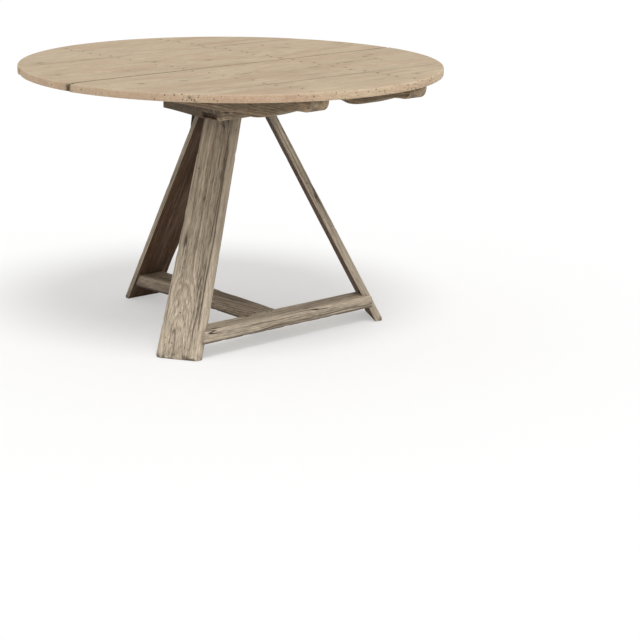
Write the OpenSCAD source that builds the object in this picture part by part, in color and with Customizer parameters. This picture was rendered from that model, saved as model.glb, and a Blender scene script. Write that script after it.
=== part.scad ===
// Round tilt-top farmhouse table. A four-board top, nailed to two shaped battens, tips on
// wooden pivots set in a heavy block, which stands on three plank legs tied by a T stretcher.
// Millimetres, +Z up. The origin is on the floor under the middle of the top. X runs along
// the boards and the pivots, Y runs along the battens. The top is drawn flat.

/* [Top] */
// Height of the table with the top flat
table_h = 755; // [700:1:800]
// Diameter of the round top
top_d = 1200; // [1180:1:1260]
// Thickness of the boards
board_t = 22; // [18:1:28]
// Middle of the joint between the back board and the next one
joint_1_y = 303; // [290:1:320]
// Middle of the joint nearest the middle, the widest one
joint_2_y = -31; // [-40:1:-20]
// Middle of the joint between the front board and the next one
joint_3_y = -372; // [-385:1:-360]
// Open width of the first joint
joint_1_gap = 1.6; // [0.5:0.1:3]
// Open width of the middle joint
joint_2_gap = 3; // [1:0.1:5]
// Open width of the third joint
joint_3_gap = 1.2; // [0.5:0.1:3]
// How far the second board has shrunk back from the rim
board_2_shrink = 4; // [0:0.5:8]
// Radius of the worn board corners at the notch in the rim
notch_r = 9; // [4:1:14]
// Radius of the worn upper edge of the rim
rim_r = 4; // [2:0.5:8]

/* [Battens] */
// Distance between the middles of the two battens
batten_span = 364; // [352:1:380]
// Width of a batten
batten_w = 64; // [56:1:70]
// Distance of the ends of the battens from the rim, at the middle of the top
batten_inset = 40; // [40:1:55]
// Depth of a batten over its middle stretch
batten_deep = 70; // [66:1:78]
// Depth of a batten near its ends
batten_thin = 32; // [26:1:40]
// Distance from the end of a batten to the small lobe that ends its deep stretch
lobe_in = 235; // [225:1:245]
// Length of the hollow beside the lobe, on either side of its deepest point
lobe_half = 40; // [30:1:50]
// Length of the slope from the straight stretch into the hollow
hollow_slope = 85; // [70:1:100]
// Height of the hollow beside the lobe
lobe_drop = 6; // [3:1:10]

/* [Pivot] */
// Distance of the pivots from the middle, towards the front
pivot_y = 106; // [95:1:108]
// Depth of the pivots below the top face
pivot_drop = 61; // [58:1:66]
// Diameter of the pivot pins
pin_d = 28; // [22:1:30]
// Running clearance of a pin in its batten, on the radius
pin_play = 0.05; // [0.03:0.01:0.1]
// Depth to which a pin is driven into the block
pin_seat = 66; // [50:1:72]
// Diameter of the head of a pin, outside the batten
pin_head_d = 34; // [33:1:40]
// Thickness of the head of a pin
pin_head_t = 7; // [4:1:10]
// Gap between the head of a pin and the batten
pin_head_gap = 0.5; // [0.3:0.1:1]

/* [Block] */
// Gap between the block and each batten
block_gap = 1; // [0.5:0.1:2]
// Front face of the block, in front of the middle
block_front = 123; // [121:1:130]
// Back face of the block, behind the middle
block_back = 124; // [118:1:135]
// Thickness of the block
block_t = 106; // [100:1:112]
// Gap between the boards and the front edge of the block as the top swings
swing_gap = 1; // [0.5:0.5:3]
// Length of the old mortise in the left side of the block
slot_l = 57; // [40:1:60]
// Height of the old mortise
slot_h = 11; // [8:1:12]
// Depth of the old mortise
slot_deep = 9; // [5:1:14]

/* [Legs] */
// Distance of the feet from the middle, at their outer faces
foot_r = 440; // [430:1:450]
// Distance of the heads of the front and right legs from the middle, at their outer faces
head_r = 111; // [104:1:116]
// Distance of the head of the back leg from the middle, at its outer face
back_head_r = 98; // [94:1:108]
// Thickness of the leg planks
leg_t = 24; // [20:1:28]
// Width of a leg at the floor
leg_foot_w = 131; // [120:1:140]
// Width of a leg under the block
leg_top_w = 104; // [96:1:110]
// Sideways run of the front leg from its foot to its head
front_drift = 9; // [0:1:12]
// Width of the bevels along the outer edges of a leg
leg_bevel = 11; // [6:1:14]
// Depth of the bevels along the outer edges of a leg
leg_bevel_deep = 8; // [5:1:10]
// How far the toe of a leg is worn back
toe_wear = 4; // [2:1:8]
// Rounding of the lower corners of a leg
foot_corner = 14; // [8:1:20]
// Turn of the whole leg frame against the boards, in degrees
frame_turn = -1.2; // [-2:0.1:1]
// Shift of the leg frame towards the front
frame_shift = 5; // [0:1:6]
// Width of a leg tenon in the block
tenon_w = 62; // [50:1:66]
// Height of a leg tenon in the block
tenon_h = 58; // [44:1:64]
// Width of the wedge behind the back leg
wedge_w = 60; // [40:1:80]
// Distance of the wedge from the back face of the block
wedge_inset = 10; // [6:1:16]

/* [Stretchers] */
// Underside of the stretchers above the floor
rail_z = 44; // [38:1:52]
// Thickness of the stretchers
rail_t = 36; // [30:1:40]
// How far the long stretcher lies in front of the middle of its two legs
rail_out = 34; // [30:1:38]
// Width of the long stretcher
rail_w = 70; // [64:1:74]
// Bevel along the upper edges of the long stretcher
rail_bevel = 4; // [2:1:6]
// Width of the cross stretcher at the long one
cross_w = 64; // [56:1:72]
// Width of the cross stretcher at the back leg
cross_foot_w = 91; // [80:1:98]
// Middle of the cross stretcher at the long one
cross_x = -44; // [-52:1:-36]
// Middle of the cross stretcher at the back leg
cross_foot_x = -3; // [-8:1:4]
// Inward bow of the left edge of the cross stretcher
cross_bow = 8; // [0:1:12]
// Length of the stub tenons on the stretchers
stub_l = 14; // [10:1:16]
// Width of the stub tenons on the stretchers
stub_w = 30; // [24:1:34]
// Depth of the joint between the two stretchers
tee_l = 28; // [20:1:36]

/* [Catch] */
// Distance of the button's screw behind the block
button_out = 46; // [46:1:52]
// Length of the button on the far side of its screw
button_heel = 26; // [20:1:34]
// Width of the button
button_w = 28; // [22:1:30]
// Thickness of the button
button_t = 15; // [12:1:18]
// Play between the button and the keeper strip
button_play = 0.6; // [0.4:0.1:1]
// Depth of the keeper strip behind the block
keeper_out = 24; // [20:1:24]
// Thickness of the keeper strip
keeper_t = 20; // [16:1:22]
// Length of the keeper strip
keeper_l = 130; // [110:1:150]
// Gap between the keeper strip and the boards
keeper_drop = 5; // [4:1:8]
// Diameter of the packing piece above the button
spacer_d = 34; // [26:1:34]
// Diameter of the button's screw
screw_d = 6; // [5:0.5:7]

/* [Nails and pegs] */
// Diameter of the nails
nail_d = 3.6; // [3:0.2:4.4]
// Length of the board nails
nail_l = 44; // [36:1:50]
// Diameter of the nail heads
nail_head_d = 7; // [6:0.5:8]
// Thickness of the nail heads
nail_head_t = 1.6; // [1.2:0.1:2]
// Length of the keeper nails
keeper_nail_l = 44; // [36:1:50]
// Diameter of the pegs in the leg tenons
peg_d = 12; // [10:1:13]
// Diameter of the pegs in the stretchers
rail_peg_d = 9; // [7:1:10]

/* [Hidden] */

// Larger than anything in the table, for cutting tools
far = 2 * top_d;
// How far a cutting tool or a tenon runs past the face it starts from
lap = 1;
// Clearance on the radius round nails, pegs and screws
bore_play = 0.05;

plank_c = [0.80, 0.72, 0.58];
old_c = [0.52, 0.46, 0.38];
dark_c = [0.33, 0.28, 0.23];
iron_c = [0.22, 0.19, 0.17];

top_r = top_d / 2;
under_z = table_h - board_t;
pivot_z = table_h - pivot_drop;
batten_x = batten_span / 2;
batten_out = batten_x + batten_w / 2;
block_half = batten_x - batten_w / 2 - block_gap;
block_z = under_z - block_t;
batten_half = top_r - batten_inset;

// The two long edges of each board, the front board first
joint_y = [joint_3_y, joint_2_y, joint_1_y];
joint_gap = [joint_3_gap, joint_2_gap, joint_1_gap];
board_lo = [-top_r, for (j = [0:2]) joint_y[j] + joint_gap[j] / 2];
board_hi = [for (j = [0:2]) joint_y[j] - joint_gap[j] / 2, top_r];

// Nails through each board, the front board first, in the left and in the right row
nail_counts = [[4, 6, 6, 6], [4, 8, 9, 7]];
nail_edge = 24;
nail_stray_x = 9;
nail_stray_y = 7;
// The nails stop short of the pivot pins
nail_reach = min(nail_l, pivot_drop - pin_d / 2 - 2);

// Direction, lean and sideways run of each leg
leg_lean = atan((foot_r - head_r) / block_z);
back_lean = atan((foot_r - back_head_r) / block_z);
front_set = [-150 + frame_turn, leg_lean, front_drift];
right_set = [-30 + frame_turn, leg_lean, 0];
back_set = [90 + frame_turn, back_lean, 0];

leg_peg_z = block_z + tenon_h / 2;
leg_peg_past = 16;

rail_mid_z = rail_z + rail_t / 2;
rail_mid_y = (leg_middle(front_set, rail_mid_z)[1] + leg_middle(right_set, rail_mid_z)[1]) / 2;
rail_front = rail_out - rail_mid_y + rail_w / 2;
rail_back = rail_front - rail_w;
stub_inset = rail_t / 4;
long_stub_y = -rail_front + 0.7 * rail_w;
cross_far_y = leg_middle(back_set, rail_mid_z)[1] - leg_t / 2;
cross_steps = 8;

button_y = block_back + button_out;
button_tongue = button_out - 3;
keeper_z = under_z - keeper_drop - keeper_t;
button_z = keeper_z - button_play - button_t;
button_gap = 0.3;
screw_bite = 14;
screw_head_d = 2.6 * screw_d;
screw_head_t = 3;

// A smooth step from a to b as u goes from 0 to 1
function ease(a, b, u) = a + (b - a) * (1 - cos(180 * u)) / 2;

// Everything between two heights
module slab(z0, z1) {
    translate([-far, -far, z0]) cube([2 * far, 2 * far, z1 - z0]);
}

// The round top before it is cut into boards, its upper edge worn round
module disc(r) {
    rotate_extrude($fn = 240) polygon(concat(
        [[0, under_z], [r - lap, under_z], [r, under_z + lap]],
        [for (a = [0:22.5:90]) [r - rim_r + rim_r * cos(a), table_h - rim_r + rim_r * sin(a)]],
        [[0, table_h]]
    ));
}

// Where the nails of one row go. side is -1 for the left row and 1 for the right row
function nail_first(k) = max(board_lo[k], -batten_half) + nail_edge;
function nail_last(k) = min(board_hi[k], batten_half) - nail_edge;
function nail_points(side) = [
    for (k = [0:3], count = nail_counts[(side + 1) / 2][k], i = [0:count - 1])
        [
            side * batten_x + nail_stray_x * sin(137 * i + 50 * k + 90 * side),
            nail_first(k) + (nail_last(k) - nail_first(k)) * i / (count - 1)
                + nail_stray_y * sin(180 * i / (count - 1)) * sin(97 * i + 50 * k)
        ]
];

// One row of nails from the top face down, or with play the holes for them
module nail_row(side, play) {
    for (p = nail_points(side)) translate([p[0], p[1], table_h]) {
        translate([0, 0, -nail_reach - play])
            cylinder(d = nail_d + 2 * play, h = nail_reach, $fn = 24);
        translate([0, 0, -nail_head_t])
            cylinder(d = nail_head_d + 2 * play, h = nail_head_t + 20 * play, $fn = 24);
    }
}

// One board: a slice of the disc with its nail holes. k is 0 for the front board
module board(k, r) {
    difference() {
        intersection() {
            disc(r);
            translate([-far, board_lo[k], 0]) cube([2 * far, board_hi[k] - board_lo[k], far]);
        }
        nail_row(-1, bore_play);
        nail_row(1, bore_play);
    }
}

// The worn corner of a board at the left end of the middle joint.
// up is 1 for the board behind the joint and -1 for the one in front of it
module notch(r, up) {
    edge_y = joint_2_y + up * joint_2_gap / 2;
    translate([-sqrt(r * r - edge_y * edge_y), edge_y, 0]) linear_extrude(far) difference() {
        translate([-notch_r, min(-up * lap, up * notch_r)]) square([2 * notch_r, notch_r + lap]);
        translate([notch_r, up * notch_r]) circle(notch_r, $fn = 32);
    }
}

module board_1() color(plank_c) board(3, top_r);
module board_2() color(plank_c) difference() {
    board(2, top_r - board_2_shrink);
    notch(top_r - board_2_shrink, 1);
    catch_bolt(bore_play);
}
module board_3() color(plank_c) difference() {
    board(1, top_r);
    notch(top_r, -1);
}
module board_4() color(plank_c) board(0, top_r);

// Outline of half a batten seen from the side: straight, a hollow, a lobe, a long scallop and
// a round end
lobe_y = batten_half - lobe_in;
hollow_y = lobe_y - lobe_half;
straight_y = hollow_y - hollow_slope;
batten_round = 0.75 * batten_thin;
scallop_y = batten_half - 1.5 * batten_round;
function curve(y0, y1, d0, d1, steps) = [
    for (i = [1:steps]) [y0 + (y1 - y0) * i / steps, -ease(d0, d1, i / steps)]
];
half_outline = concat(
    [[straight_y, -batten_deep]],
    curve(straight_y, hollow_y, batten_deep, batten_deep - lobe_drop, 5),
    curve(hollow_y, lobe_y, batten_deep - lobe_drop, batten_deep, 5),
    curve(lobe_y, scallop_y, batten_deep, batten_thin, 9),
    [for (a = [0:15:90]) [batten_half - batten_round + batten_round * sin(a),
                          -batten_thin + batten_round - batten_round * cos(a)]],
    [[batten_half, 0]]
);
batten_outline = concat(
    half_outline,
    [for (i = [len(half_outline) - 1:-1:0]) [-half_outline[i][0], half_outline[i][1]]]
);

module batten(side) {
    difference() {
        translate([side * batten_x - batten_w / 2, 0, under_z]) rotate([90, 0, 90])
            linear_extrude(batten_w) polygon(batten_outline);
        translate([side * batten_x, -pivot_y, pivot_z]) rotate([0, 90, 0])
            cylinder(d = pin_d + 2 * pin_play, h = batten_w + 2 * lap, center = true, $fn = 72);
        nail_row(side, bore_play);
    }
}
module left_batten() color(old_c) batten(-1);
module right_batten() color(old_c) batten(1);
module left_batten_nails() color(iron_c) nail_row(-1, 0);
module right_batten_nails() color(iron_c) nail_row(1, 0);

// Stands a leg up: in here the origin is on the floor in the middle of its outer face, X points
// outwards across the plank, Y across its width and Z up along it
module at_leg(set) {
    at_foot(set) rotate([0, -set[1], 0]) children();
}
module at_foot(set) {
    translate([0, -frame_shift, 0]) rotate([0, 0, set[0]]) translate([foot_r, 0, 0]) children();
}

// Length of a leg from the floor to the block, along the plank
function leg_l(set) = block_z / cos(set[1]);

// Middle of a leg's thickness and width at height z
function leg_middle(set, z) =
    let (out = foot_r - z * tan(set[1]) - leg_t / 2 / cos(set[1]), side = set[2] * z / block_z)
    [
        out * cos(set[0]) - side * sin(set[0]),
        out * sin(set[0]) + side * cos(set[0]) - frame_shift,
        z
    ];

// Flat shape of a leg, narrowing upwards, with round lower corners
module leg_shape(set) {
    c = foot_corner;
    half = leg_foot_w / 2;
    head = leg_top_w / 2;
    polygon(concat(
        [for (a = [0:18:90]) [half - c + c * sin(a), c - c * cos(a)]],
        [[head - set[2], leg_l(set)], [head - set[2], leg_l(set) + leg_t]],
        [[-head - set[2], leg_l(set) + leg_t], [-head - set[2], leg_l(set)]],
        [for (a = [90:-18:0]) [-half + c - c * sin(a), c - c * cos(a)]]
    ));
}

// A tool for the bevel along one outer edge of a leg
module leg_bevel_tool(set, side) {
    run = side * (leg_foot_w - leg_top_w) / 2 - set[2];
    translate([0, side * leg_foot_w / 2, 0]) rotate([atan(run / leg_l(set)), 0, 0])
        translate([0, 0, -leg_t]) linear_extrude(leg_l(set) + 2 * leg_t) polygon([
            [0, -side * leg_bevel], [-leg_bevel_deep, 0], [-leg_bevel_deep, side * leg_bevel],
            [lap, side * leg_bevel], [lap, -side * leg_bevel]
        ]);
}

// The tenon on the head of a leg, with its foot sunk into the plank by lap
module leg_tenon(set) {
    intersection() {
        at_leg(set) translate([-leg_t, set[2] - tenon_w / 2, 0])
            cube([leg_t, tenon_w, leg_l(set) + 2 * tenon_h]);
        slab(block_z - lap, block_z + tenon_h);
    }
}

// The side of a leg where the stretchers are, or with a depth also that much of the plank
module inside_leg(set, depth) {
    at_leg(set) translate([depth - leg_t - far, -far, -far]) cube([far, 2 * far, 2 * far]);
}

module leg(set) {
    difference() {
        union() {
            intersection() {
                difference() {
                    at_leg(set) rotate([90, 0, -90]) linear_extrude(leg_t) leg_shape(set);
                    at_leg(set) leg_bevel_tool(set, -1);
                    at_leg(set) leg_bevel_tool(set, 1);
                }
                at_foot(set) translate([-far - toe_wear, -far, 0]) cube([far, 2 * far, block_z]);
            }
            leg_tenon(set);
        }
        tenon_pegs(bore_play);
        rail_stubs();
    }
}
module front_leg() color(old_c) leg(front_set);
module right_leg() color(old_c) leg(right_set);
module back_leg() color(old_c) leg(back_set);

// A peg through each leg tenon, driven in from the nearest face of the block
module tenon_pegs(play) {
    for (set = [front_set, right_set]) {
        side = sign(cos(set[0]));
        p = leg_middle(set, leg_peg_z);
        translate([side * block_half, p[1], p[2]]) rotate([0, -side * 90, 0])
            cylinder(d = peg_d + 2 * play, h = block_half - abs(p[0]) + leg_peg_past, $fn = 32);
    }
    p = leg_middle(back_set, leg_peg_z);
    translate([p[0], block_back, p[2]]) rotate([90, 0, 0])
        cylinder(d = peg_d + 2 * play, h = block_back - p[1] + leg_peg_past, $fn = 32);
}
module leg_tenon_pegs() color(dark_c) tenon_pegs(0);

// The wedge between the outer face of the back leg and the underside of the block
module back_leg_wedge() color(dark_c) {
    out = block_back - wedge_inset + frame_shift;
    translate([0, -frame_shift, 0]) rotate([0, 0, frame_turn + 90])
        translate([0, wedge_w / 2, 0]) rotate([90, 0, 0]) linear_extrude(wedge_w) polygon([
            [foot_r - block_z * tan(back_lean), block_z], [out, block_z],
            [out, (foot_r - out) / tan(back_lean)]
        ]);
}

// The block between the battens. Its front upper edge is rounded about the pivots, so that the
// boards pass over it as the top tips
module top_block() color(old_c) difference() {
    translate([-block_half, -block_front, block_z])
        cube([2 * block_half, block_front + block_back, block_t]);
    difference() {
        translate([-far, -far - pivot_y, pivot_z]) cube([2 * far, far, far]);
        translate([0, -pivot_y, pivot_z]) rotate([0, 90, 0])
            cylinder(r = pivot_drop - board_t - swing_gap, h = 2 * far, center = true, $fn = 96);
    }
    for (side = [-1, 1]) pin_shank(side, bore_play);
    translate([-block_half - lap, -pivot_y, block_z + slot_h / 2])
        cube([slot_deep + lap, slot_l, slot_h]);
    for (set = [front_set, right_set, back_set]) leg_tenon(set);
    tenon_pegs(bore_play);
    keeper_nail_set(bore_play);
}

// The round part of a pivot pin, from inside the block to the outside of the batten
module pin_shank(side, play) {
    translate([side * (block_half - pin_seat), -pivot_y, pivot_z]) rotate([0, side * 90, 0])
        cylinder(d = pin_d + 2 * play, h = batten_out + pin_head_gap - block_half + pin_seat, $fn = 72);
}
module pivot_pin(side) {
    pin_shank(side, 0);
    translate([side * (batten_out + pin_head_gap), -pivot_y, pivot_z]) rotate([0, side * 90, 0])
        cylinder(d1 = pin_head_d, d2 = pin_head_d - pin_head_t, h = pin_head_t, $fn = 72);
}
module left_pivot_pin() color(dark_c) pivot_pin(-1);
module right_pivot_pin() color(dark_c) pivot_pin(1);

// The stub tenons that run from the stretchers into the legs
module rail_stubs() {
    for (set = [front_set, right_set]) intersection() {
        translate([cos(set[0]) < 0 ? -far : 0, long_stub_y - stub_w / 2, rail_z + stub_inset])
            cube([far, stub_w, rail_t - 2 * stub_inset]);
        inside_leg(set, stub_l);
    }
    intersection() {
        translate([cross_foot_x - stub_w / 2, 0, rail_z + stub_inset])
            cube([stub_w, far, rail_t - 2 * stub_inset]);
        inside_leg(back_set, stub_l);
    }
}

// The long stretcher between the front and right legs, its upper edges bevelled
module long_stretcher() color(old_c) difference() {
    union() {
        intersection() {
            translate([-far, -rail_front, rail_z]) rotate([90, 0, 90]) linear_extrude(2 * far)
                polygon([
                    [0, 0], [rail_w, 0], [rail_w, rail_t - rail_bevel],
                    [rail_w - rail_bevel, rail_t], [rail_bevel, rail_t], [0, rail_t - rail_bevel]
                ]);
            inside_leg(front_set, 0);
            inside_leg(right_set, 0);
        }
        intersection() {
            rail_stubs();
            translate([-far, -rail_front, 0]) cube([2 * far, rail_w, far]);
        }
    }
    tee_stub();
    rail_pegs(bore_play);
}

// The cross stretcher, from its joint with the long one to the back leg. u runs from 0 to 1
function cross_y(u) = -rail_back + (cross_far_y + rail_back) * u;
function cross_side(u, side) =
    cross_x + (cross_foot_x - cross_x) * u + side * (cross_w + (cross_foot_w - cross_w) * u) / 2;
module cross_stretcher() color(old_c) difference() {
    union() {
        intersection() {
            translate([0, 0, rail_z]) linear_extrude(rail_t) polygon(concat(
                [[cross_side(0, 1), cross_y(0)], [cross_side(1.1, 1), cross_y(1.1)]],
                [[cross_side(1.1, -1), cross_y(1.1)]],
                [for (i = [cross_steps:-1:0])
                    let (u = i / cross_steps)
                    [cross_side(u, -1) + cross_bow * sin(180 * u), cross_y(u)]]
            ));
            inside_leg(back_set, 0);
        }
        intersection() {
            rail_stubs();
            translate([-far, cross_far_y - cross_foot_w, 0]) cube([2 * far, far, far]);
        }
        tee_stub();
    }
    rail_pegs(bore_play);
}

// The tenon of the cross stretcher in the back of the long one
module tee_stub() {
    translate([cross_x - stub_w / 2, -rail_back - tee_l, rail_z + stub_inset])
        cube([stub_w, tee_l + lap, rail_t - 2 * stub_inset]);
}

// Two pegs down through the joint between the stretchers
module rail_pegs(play) {
    for (side = [-1, 1])
        translate([cross_x + side * stub_w / 4, -rail_back - tee_l / 2, rail_z])
            cylinder(d = rail_peg_d + 2 * play, h = rail_t, $fn = 32);
}
module stretcher_pegs() color(dark_c) rail_pegs(0);

// The strip on the back of the block, under which the button turns
module catch_keeper() color(old_c) difference() {
    translate([-keeper_l / 2, block_back, keeper_z]) cube([keeper_l, keeper_out, keeper_t]);
    keeper_nail_set(bore_play);
}

// Three nails through the keeper strip into the block, heads let in flush
module keeper_nail_set(play) {
    for (x = [-1:1])
        translate([x * 0.38 * keeper_l, block_back + keeper_out, keeper_z + keeper_t / 2])
            rotate([90, 0, 0]) {
                cylinder(d = nail_d + 2 * play, h = keeper_nail_l + play, $fn = 24);
                cylinder(d = nail_head_d + 2 * play, h = nail_head_t, $fn = 24);
            }
}
module keeper_nails() color(iron_c) keeper_nail_set(0);

// The packing piece between the boards and the button
module catch_spacer() color(old_c) difference() {
    translate([0, button_y, button_z + button_t + button_gap])
        cylinder(d = spacer_d, h = under_z - button_z - button_t - button_gap, $fn = 64);
    catch_bolt(bore_play);
}

// The turn button, drawn turned off, its tongue to the right
module catch_button() color(old_c) difference() {
    translate([0, button_y, button_z]) linear_extrude(button_t) intersection() {
        translate([-button_heel, -button_w / 2]) square([button_heel + button_tongue, button_w]);
        translate([button_heel / 2, 0]) circle(button_tongue - button_heel / 2 + 1, $fn = 96);
    }
    translate([0, button_y, button_z - lap])
        cylinder(d = screw_d + 2 * pin_play, h = button_t + 2 * lap, $fn = 48);
}

// The shank of the button's screw, or with play the hole for it
module catch_bolt(play) {
    translate([0, button_y, button_z - button_gap])
        cylinder(d = screw_d + 2 * play, h = under_z - button_z + button_gap + screw_bite, $fn = 48);
}
module catch_screw() color(iron_c) {
    catch_bolt(0);
    translate([0, button_y, button_z - button_gap - screw_head_t])
        cylinder(d1 = screw_head_d - screw_head_t, d2 = screw_head_d, h = screw_head_t, $fn = 48);
}

board_1();
board_2();
board_3();
board_4();
left_batten();
right_batten();
left_batten_nails();
right_batten_nails();
top_block();
left_pivot_pin();
right_pivot_pin();
front_leg();
right_leg();
back_leg();
leg_tenon_pegs();
back_leg_wedge();
long_stretcher();
cross_stretcher();
stretcher_pegs();
catch_keeper();
keeper_nails();
catch_spacer();
catch_button();
catch_screw();
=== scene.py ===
import math

import bpy
import numpy as np
from mathutils import Matrix, Vector


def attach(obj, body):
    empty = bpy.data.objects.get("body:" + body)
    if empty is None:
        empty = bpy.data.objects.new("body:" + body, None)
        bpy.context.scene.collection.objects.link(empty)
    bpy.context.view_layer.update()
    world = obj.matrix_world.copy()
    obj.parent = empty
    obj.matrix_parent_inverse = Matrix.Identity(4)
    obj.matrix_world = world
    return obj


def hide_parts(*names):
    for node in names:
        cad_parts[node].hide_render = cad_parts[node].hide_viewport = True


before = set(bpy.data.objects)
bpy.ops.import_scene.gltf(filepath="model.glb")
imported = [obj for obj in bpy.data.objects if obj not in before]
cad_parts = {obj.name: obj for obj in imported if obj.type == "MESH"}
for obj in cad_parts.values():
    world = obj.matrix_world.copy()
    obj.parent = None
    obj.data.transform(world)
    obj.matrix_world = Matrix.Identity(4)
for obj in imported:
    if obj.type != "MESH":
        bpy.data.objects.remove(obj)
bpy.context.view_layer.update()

# ---- sizes in millimetres, the CAD's as in part.scad
# x runs right, y back and z up, from the floor under the middle of the top
TOP_Z, UNDER_Z, TOP_R = 755.0, 733.0, 600.0
RIM_R, NOTCH_R, SHRINK = 4.0, 9.0, 4.0  # rim's rounding, broken notch, how far in board_2 stands
BOARD_LO = [-600.0, -371.4, -29.5, 303.8]  # from the front board to the back board
BOARD_HI = [-372.6, -32.5, 302.2, 600.0]
MIDDLE_JOINT = -31.0
BATTEN_X, BATTEN_HALF_W, BATTEN_HALF = 182.0, 32.0, 560.0
BATTEN_DEEP, BATTEN_HOLLOW, BATTEN_THIN, BATTEN_ROUND = 70.0, 64.0, 32.0, 24.0
STRAIGHT_Y, HOLLOW_Y, LOBE_Y, SCALLOP_Y = 200.0, 285.0, 325.0, 524.0
PIVOT_Y, PIVOT_Z, PIVOT_R = -106.0, 694.0, 38.0
PIN_START, PIN_SEAT = 83.0, 214.5  # from the middle to a pin's inner end and to its head
BLOCK_X, BLOCK_Y0, BLOCK_Y1, BLOCK_Z = 149.0, -123.0, 124.0, 627.0
MORTISE = (-108.5, -46.0, 630.5, 646.0)  # y from and to, z from and to
SAG = 8.5  # how much lower the block's near corner hangs
SHIFT = -5.0  # y of the legs' common middle
FOOT_R, HEAD_R, BACK_HEAD_R = 440.0, 111.0, 98.0
LEG_T, LEG_FOOT, LEG_HEAD, BEVEL, BEVEL_DEEP = 24.0, 65.5, 52.0, 11.0, 8.0
TOE, FOOT_CORNER = 436.0, 14.0  # the feet's tips are cut off upright, their corners are round
LEGS = {"front_leg": (-151.2, HEAD_R, 9.0), "right_leg": (-31.2, HEAD_R, 0.0),
        "back_leg": (88.8, BACK_HEAD_R, 0.0)}  # azimuth in degrees, head radius, sideways drift
PEG_Z, PEG_ON = 656.0, 16.0  # the tenon pegs' height, and how far past the leg's middle they go
RAIL_Z0, RAIL_TALL, RAIL_Y0, RAIL_Y1, RAIL_WIDE = 44.0, 36.0, -271.3, -201.3, 70.0
RUN_ON = 1.17  # how far the long stretcher runs on for each mm that it is in front of a leg
CROSS_X0, CROSS_X1, CROSS_W0, CROSS_W1, CROSS_BOW = -44.0, -3.0, 64.0, 91.0, 8.0
WEDGE_TIP, WEDGE_HALF = 548.0, 41.0
KEEPER_Z0, KEEPER_Z1, KEEPER_L, KEEPER_OUT = 708.0, 728.0, 130.0, 24.0
BUTTON_Y, BUTTON_Z0, BUTTON_Z1, BUTTON_HEEL, BUTTON_TONGUE = 170.0, 692.4, 707.4, 26.0, 43.0
BUTTON_HALF_W, BUTTON_T = 14.0, 15.0
NAIL_COUNTS = {-1: [4, 6, 6, 6], 1: [4, 8, 9, 7]}  # in each board, front to back

# ---- how the pieces are closed and marked
CAP = (0.985, 0.94, 0.86, 0.74, 0.58, 0.4, 0.2)  # sizes of the rings that close an end
BLOCK_CAP = (0.985, 0.95, 0.92, 0.89, 0.86, 0.83, 0.8, 0.77, 0.74, 0.71, 0.68, 0.64, 0.55, 0.4,
             0.2)  # close enough for the mortise
ROUND_CAP = (0.8, 0.5, 0.2)
PLAIN = (0.0, 1.0, 0.0)  # tone: no second colour, full brightness, no worm holes
SHARP = 48  # degrees from which an edge is sharp


# ---- numbers
def lattice(x, y, z, seed):
    """A fixed random number from -1 to 1 for each whole point."""
    h = (x * 374761393 + y * 668265263 + z * 1440662683 + seed * 1013904223) & 0xFFFFFFFF
    h = ((h ^ (h >> 15)) * 2246822519) & 0xFFFFFFFF
    h = ((h ^ (h >> 13)) * 3266489917) & 0xFFFFFFFF
    return ((h ^ (h >> 16)) & 0xFFFFFF) / 8388607.5 - 1.0


def noise(p, scale, seed=0, octaves=1):
    """Smooth noise from -1 to 1 at points p (..., 3); scale is the size of its features."""
    q = np.asarray(p, float) / np.asarray(scale, float)
    total, size, weight = 0.0, 0.0, 1.0
    for k in range(octaves):
        i = np.floor(q).astype(np.int64)
        f = q - i
        f = f * f * (3 - 2 * f)
        value = 0.0
        for c in range(8):
            o = (c & 1, c >> 1 & 1, c >> 2 & 1)
            w = 1.0
            for a in range(3):
                w = w * (f[..., a] if o[a] else 1 - f[..., a])
            value = value + w * lattice(i[..., 0] + o[0], i[..., 1] + o[1], i[..., 2] + o[2],
                                        seed + 17 * k)
        total, size, weight = total + weight * value, size + weight, weight * 0.5
        q = q * 2.03
    return total / size


def step(a, b, x):
    """From 0 at a to 1 at b, smoothly; a may be the larger."""
    t = np.clip((x - a) / (b - a), 0, 1)
    return t * t * (3 - 2 * t)


def ease(a, b, u):
    """From a to b along half a cosine as u goes from 0 to 1."""
    return a + (b - a) * (1 - np.cos(np.pi * np.clip(u, 0, 1))) / 2


def xyz(*parts):
    """An array of points from their coordinates."""
    return np.stack(np.broadcast_arrays(*parts), -1).astype(float)


# ---- meshes
def same_corners(n, corners):
    """The same corners at each of n stations."""
    return np.tile(np.array(corners, float), (n, 1, 1))


def section(corners, radius, counts, arc=4):
    """Closed outline (n, m, 2) through corners (n, k, 2), each worn round, and how near each
    point is to a corner."""
    k = corners.shape[1]
    pts, near, ends = [], [], []
    for i in range(k):
        a, b, c = corners[:, i - 1], corners[:, i], corners[:, (i + 1) % k]
        r = radius[i]
        d1 = (a - b) / np.linalg.norm(a - b, axis=1, keepdims=True)
        d2 = (c - b) / np.linalg.norm(c - b, axis=1, keepdims=True)
        ends.append((b + d1 * r, b, b + d2 * r))
    for i in range(k):
        p0, b, p1 = ends[i]
        for s in np.linspace(0, 1, arc + 1):
            pts.append((1 - s) ** 2 * p0 + 2 * s * (1 - s) * b + s * s * p1)
            near.append(1 - abs(2 * s - 1) * 0.4)
        q = ends[(i + 1) % k][0]
        length = np.linalg.norm(q - p1, axis=1).mean()
        for s in range(1, counts[i]):
            t = s / counts[i]
            pts.append(p1 + (q - p1) * t)
            near.append(0.6 * math.exp(-min(t, 1 - t) * length / 5))
    return np.stack(pts, 1), np.array(near)


def band(n, m):
    """Quads between n closed rings of m points."""
    i = np.arange(n - 1)[:, None] * m
    j = np.arange(m)[None, :]
    jn = (j + 1) % m
    return np.stack([i + j, i + jn, i + m + jn, i + m + j], -1).reshape(-1, 4)


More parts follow.
